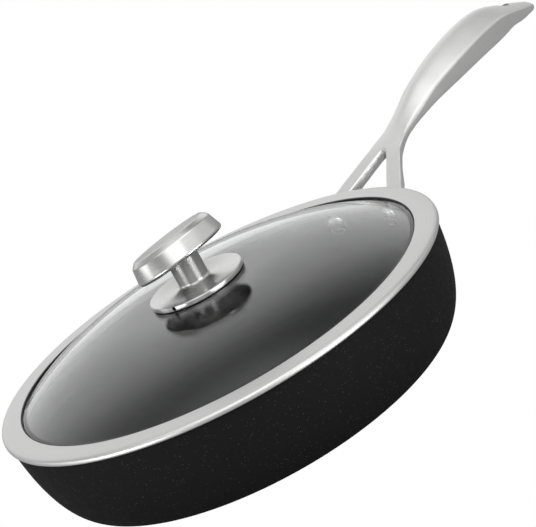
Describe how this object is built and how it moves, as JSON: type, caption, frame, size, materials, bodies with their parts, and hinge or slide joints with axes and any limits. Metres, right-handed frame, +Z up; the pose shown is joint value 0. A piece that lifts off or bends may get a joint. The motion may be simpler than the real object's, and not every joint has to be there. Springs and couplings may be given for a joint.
{
  "type": "saute pan with lid",
  "caption": "Deep round saute pan with a forked riveted handle and a domed glass lid with a steel band and a leaning knob.",
  "frame": {"origin": "centre of the base, on the surface the pan stands on", "axes": "+Z up along the pan's axis, +X along the handle towards its tip, +Y the side the knob's cap leans down to"},
  "size_m": [0.454, 0.268, 0.1173],
  "materials": {
    "pan_coat": "cast aluminium under a matte black non-stick coat with a fine sparkle",
    "disc_steel": "turned satin",
    "cast_steel": "satin cast stainless steel",
    "satin_steel": "satin stainless steel, brushed around its axis",
    "bright_steel": "fine turned stainless steel",
    "silicone": "matte black silicone",
    "nylon": "natural nylon",
    "glass": "clear tempered glass"
  },
  "bodies": {
    "pan": {"pan_body": "pan_coat", "base_disc": "disc_steel", "handle": "cast_steel", "rivet_left": "bright_steel", "rivet_right": "bright_steel"},
    "lid": {"lid_rim": "satin_steel", "glass_seal": "silicone", "lid_glass": "glass", "base_gasket": "silicone", "knob_base": "bright_steel", "knob_stem": "bright_steel", "knob_cap": "satin_steel", "glass_bush": "nylon", "lower_gasket": "silicone", "cup_washer": "bright_steel", "knob_screw": "bright_steel"}
  },
  "joints": [
    {"name": "lid_lift", "type": "slide", "parent": "pan", "child": "lid", "axis": [0, 0, 1], "range_m": [0, 0.15]}
  ]
}
